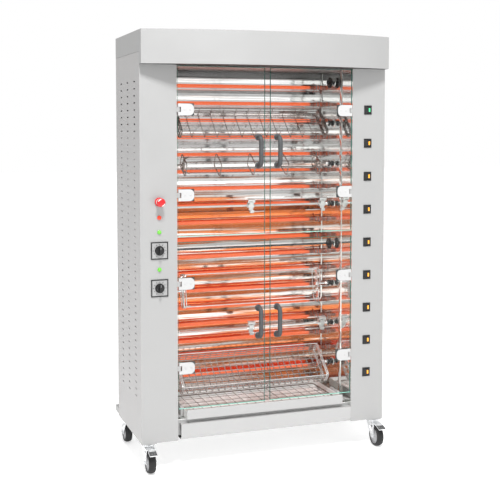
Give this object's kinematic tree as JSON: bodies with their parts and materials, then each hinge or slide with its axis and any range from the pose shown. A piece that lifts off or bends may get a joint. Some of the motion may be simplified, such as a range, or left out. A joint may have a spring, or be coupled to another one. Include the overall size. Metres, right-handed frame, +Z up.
{
  "type": "rotisserie oven",
  "caption": "Tall floor-standing electric rotisserie cabinet on castors, with hinged glass doors, driven spits and baskets before radiant tubes, a bowed crown and side control columns.",
  "frame": {"origin": "on the floor, under the middle of the whole cabinet's outline", "axes": "+Z up, -Y the front with the glass doors, +X to the right as seen from the front"},
  "size_m": [1.19, 0.6719, 1.955],
  "materials": {
    "body_steel": "satin light grey",
    "polished_lining": "polished stainless",
    "radiant_tube": "glowing orange quartz tube between ceramic caps",
    "motor_case": "matt dark casing",
    "spit_steel": "polished stainless wire and bar",
    "door_glass": "clear tempered, green at the edges",
    "clamp_steel": "satin",
    "handle_grey": "dark grey",
    "switch_black": "black",
    "dial_plate": "satin plate",
    "pilot_lens": "coloured lens",
    "rocker_green": "lit lens",
    "rocker_amber": "lit lens",
    "knob_black": "black",
    "stop_red": "red",
    "castor_zinc": "zinc plated",
    "castor_rubber": "black tread on a grey hub",
    "tray_steel": "satin"
  },
  "bodies": {
    "cabinet": {"left_column": "body_steel", "right_column": "body_steel", "left_side_panel": "body_steel", "right_side_panel": "body_steel", "fascia": "body_steel", "roof_cover": "body_steel", "back_panel": "body_steel", "base_frame": "body_steel", "cavity_walls": "polished_lining", "rear_reflector": "polished_lining", "heating_tubes": "radiant_tube", "spit_motors": "motor_case", "spit_bushes": "spit_steel", "rear_spacers": "body_steel", "switch_bezels": "switch_black", "control_bezels": "dial_plate", "pilot_lights": "pilot_lens"},
    "door_upper_left": {"door_glass_upper_left": "door_glass", "door_clamps_upper_left": "clamp_steel", "door_handle_upper_left": "handle_grey"},
    "door_upper_right": {"door_glass_upper_right": "door_glass", "door_clamps_upper_right": "clamp_steel", "door_handle_upper_right": "handle_grey"},
    "door_lower_left": {"door_glass_lower_left": "door_glass", "door_clamps_lower_left": "clamp_steel", "door_handle_lower_left": "handle_grey"},
    "door_lower_right": {"door_glass_lower_right": "door_glass", "door_clamps_lower_right": "clamp_steel", "door_handle_lower_right": "handle_grey"},
    "basket_spit_1_body": {"basket_spit_1": "spit_steel"},
    "blade_spit_2_body": {"blade_spit_2": "spit_steel"},
    "cradle_spit_3_body": {"cradle_spit_3": "spit_steel"},
    "plain_spit_4_body": {"plain_spit_4": "spit_steel"},
    "fork_spit_5_body": {"fork_spit_5": "spit_steel"},
    "cradle_spit_6_body": {"cradle_spit_6": "spit_steel"},
    "basket_spit_7_body": {"basket_spit_7": "spit_steel"},
    "drive_stub_8_body": {"drive_stub_8": "spit_steel"},
    "rocker_1_body": {"rocker_1": "rocker_amber"},
    "rocker_2_body": {"rocker_2": "rocker_amber"},
    "rocker_3_body": {"rocker_3": "rocker_amber"},
    "rocker_4_body": {"rocker_4": "rocker_amber"},
    "rocker_5_body": {"rocker_5": "rocker_amber"},
    "rocker_6_body": {"rocker_6": "rocker_amber"},
    "rocker_7_body": {"rocker_7": "rocker_amber"},
    "rocker_8_body": {"rocker_8": "rocker_amber"},
    "rocker_9_body": {"rocker_9": "rocker_green"},
    "knob_1_body": {"knob_1": "knob_black"},
    "knob_2_body": {"knob_2": "knob_black"},
    "stop_button_body": {"stop_button": "stop_red"},
    "castor_front_left": {"castor_fork_front_left": "castor_zinc"},
    "wheel_front_left": {"castor_wheel_front_left": "castor_rubber"},
    "pedal_front_left": {"brake_pedal_front_left": "castor_zinc"},
    "castor_front_right": {"castor_fork_front_right": "castor_zinc"},
    "wheel_front_right": {"castor_wheel_front_right": "castor_rubber"},
    "pedal_front_right": {"brake_pedal_front_right": "castor_zinc"},
    "castor_rear_left": {"castor_fork_rear_left": "castor_zinc"},
    "wheel_rear_left": {"castor_wheel_rear_left": "castor_rubber"},
    "castor_rear_right": {"castor_fork_rear_right": "castor_zinc"},
    "wheel_rear_right": {"castor_wheel_rear_right": "castor_rubber"},
    "drip_tray_body": {"drip_tray": "tray_steel"}
  },
  "joints": [
    {"name": "door_upper_left_swing", "type": "hinge", "parent": "cabinet", "child": "door_upper_left", "pos_m": [-0.418, -0.213, 1.4], "axis": [0, 0, -1], "range_deg": [0, 110]},
    {"name": "door_upper_right_swing", "type": "hinge", "parent": "cabinet", "child": "door_upper_right", "pos_m": [0.418, -0.213, 1.4], "axis": [0, 0, 1], "range_deg": [0, 110]},
    {"name": "door_lower_left_swing", "type": "hinge", "parent": "cabinet", "child": "door_lower_left", "pos_m": [-0.418, -0.213, 0.65], "axis": [0, 0, -1], "range_deg": [0, 110]},
    {"name": "door_lower_right_swing", "type": "hinge", "parent": "cabinet", "child": "door_lower_right", "pos_m": [0.418, -0.213, 0.65], "axis": [0, 0, 1], "range_deg": [0, 110]},
    {"name": "basket_spit_1_spin", "type": "hinge", "parent": "cabinet", "child": "basket_spit_1_body", "pos_m": [0, 0.001, 0.373], "axis": [1, 0, 0], "continuous": true},
    {"name": "blade_spit_2_spin", "type": "hinge", "parent": "cabinet", "child": "blade_spit_2_body", "pos_m": [0, 0.001, 0.5698], "axis": [1, 0, 0], "continuous": true},
    {"name": "cradle_spit_3_spin", "type": "hinge", "parent": "cabinet", "child": "cradle_spit_3_body", "pos_m": [0, 0.001, 0.7666], "axis": [1, 0, 0], "continuous": true},
    {"name": "plain_spit_4_spin", "type": "hinge", "parent": "cabinet", "child": "plain_spit_4_body", "pos_m": [0, 0.001, 0.9634], "axis": [1, 0, 0], "continuous": true},
    {"name": "fork_spit_5_spin", "type": "hinge", "parent": "cabinet", "child": "fork_spit_5_body", "pos_m": [0, 0.001, 1.1602], "axis": [1, 0, 0], "continuous": true},
    {"name": "cradle_spit_6_spin", "type": "hinge", "parent": "cabinet", "child": "cradle_spit_6_body", "pos_m": [0, 0.001, 1.357], "axis": [1, 0, 0], "continuous": true},
    {"name": "basket_spit_7_spin", "type": "hinge", "parent": "cabinet", "child": "basket_spit_7_body", "pos_m": [0, 0.001, 1.5538], "axis": [1, 0, 0], "continuous": true},
    {"name": "drive_stub_8_spin", "type": "hinge", "parent": "cabinet", "child": "drive_stub_8_body", "pos_m": [0, 0.001, 1.7506], "axis": [1, 0, 0], "continuous": true},
    {"name": "rocker_1_tip", "type": "hinge", "parent": "cabinet", "child": "rocker_1_body", "pos_m": [0.506, -0.213, 0.3628], "axis": [0, 0, 1], "range_deg": [0, 16]},
    {"name": "rocker_2_tip", "type": "hinge", "parent": "cabinet", "child": "rocker_2_body", "pos_m": [0.506, -0.213, 0.51926], "axis": [0, 0, 1], "range_deg": [0, 16]},
    {"name": "rocker_3_tip", "type": "hinge", "parent": "cabinet", "child": "rocker_3_body", "pos_m": [0.506, -0.213, 0.67572], "axis": [0, 0, 1], "range_deg": [0, 16]},
    {"name": "rocker_4_tip", "type": "hinge", "parent": "cabinet", "child": "rocker_4_body", "pos_m": [0.506, -0.213, 0.83218], "axis": [0, 0, 1], "range_deg": [0, 16]},
    {"name": "rocker_5_tip", "type": "hinge", "parent": "cabinet", "child": "rocker_5_body", "pos_m": [0.506, -0.213, 0.98864], "axis": [0, 0, 1], "range_deg": [0, 16]},
    {"name": "rocker_6_tip", "type": "hinge", "parent": "cabinet", "child": "rocker_6_body", "pos_m": [0.506, -0.213, 1.1451], "axis": [0, 0, 1], "range_deg": [0, 16]},
    {"name": "rocker_7_tip", "type": "hinge", "parent": "cabinet", "child": "rocker_7_body", "pos_m": [0.506, -0.213, 1.30156], "axis": [0, 0, 1], "range_deg": [0, 16]},
    {"name": "rocker_8_tip", "type": "hinge", "parent": "cabinet", "child": "rocker_8_body", "pos_m": [0.506, -0.213, 1.45802], "axis": [0, 0, 1], "range_deg": [0, 16]},
    {"name": "rocker_9_tip", "type": "hinge", "parent": "cabinet", "child": "rocker_9_body", "pos_m": [0.506, -0.213, 1.61448], "axis": [0, 0, 1], "range_deg": [0, 16]},
    {"name": "knob_1_turn", "type": "hinge", "parent": "cabinet", "child": "knob_1_body", "pos_m": [-0.509, -0.214, 0.99], "axis": [0, -1, 0], "range_deg": [0, 300]},
    {"name": "knob_2_turn", "type": "hinge", "parent": "cabinet", "child": "knob_2_body", "pos_m": [-0.509, -0.214, 0.8236], "axis": [0, -1, 0], "range_deg": [0, 300]},
    {"name": "stop_button_press", "type": "slide", "parent": "cabinet", "child": "stop_button_body", "axis": [0, 1, 0], "range_m": [0, 0.005]},
    {"name": "castor_front_left_swivel", "type": "hinge", "parent": "cabinet", "child": "castor_front_left", "pos_m": [-0.559, -0.186, 0.108], "axis": [0, 0, 1], "continuous": true},
    {"name": "wheel_front_left_roll", "type": "hinge", "parent": "castor_front_left", "child": "wheel_front_left", "pos_m": [-0.559, -0.226, 0.05], "axis": [1, 0, 0], "continuous": true},
    {"name": "brake_front_left_press", "type": "hinge", "parent": "castor_front_left", "child": "pedal_front_left", "pos_m": [-0.559, -0.247, 0.109], "axis": [1, 0, 0], "range_deg": [0, 12]},
    {"name": "castor_front_right_swivel", "type": "hinge", "parent": "cabinet", "child": "castor_front_right", "pos_m": [0.559, -0.186, 0.108], "axis": [0, 0, 1], "continuous": true},
    {"name": "wheel_front_right_roll", "type": "hinge", "parent": "castor_front_right", "child": "wheel_front_right", "pos_m": [0.559, -0.226, 0.05], "axis": [1, 0, 0], "continuous": true},
    {"name": "brake_front_right_press", "type": "hinge", "parent": "castor_front_right", "child": "pedal_front_right", "pos_m": [0.559, -0.247, 0.109], "axis": [1, 0, 0], "range_deg": [0, 12]},
    {"name": "castor_rear_left_swivel", "type": "hinge", "parent": "cabinet", "child": "castor_rear_left", "pos_m": [-0.559, 0.203, 0.108], "axis": [0, 0, 1], "continuous": true},
    {"name": "wheel_rear_left_roll", "type": "hinge", "parent": "castor_rear_left", "child": "wheel_rear_left", "pos_m": [-0.559, 0.243, 0.05], "axis": [1, 0, 0], "continuous": true},
    {"name": "castor_rear_right_swivel", "type": "hinge", "parent": "cabinet", "child": "castor_rear_right", "pos_m": [0.559, 0.203, 0.108], "axis": [0, 0, 1], "continuous": true},
    {"name": "wheel_rear_right_roll", "type": "hinge", "parent": "castor_rear_right", "child": "wheel_rear_right", "pos_m": [0.559, 0.243, 0.05], "axis": [1, 0, 0], "continuous": true},
    {"name": "drip_tray_slide", "type": "slide", "parent": "cabinet", "child": "drip_tray_body", "axis": [0, -1, 0], "range_m": [0, 0.3]}
  ]
}
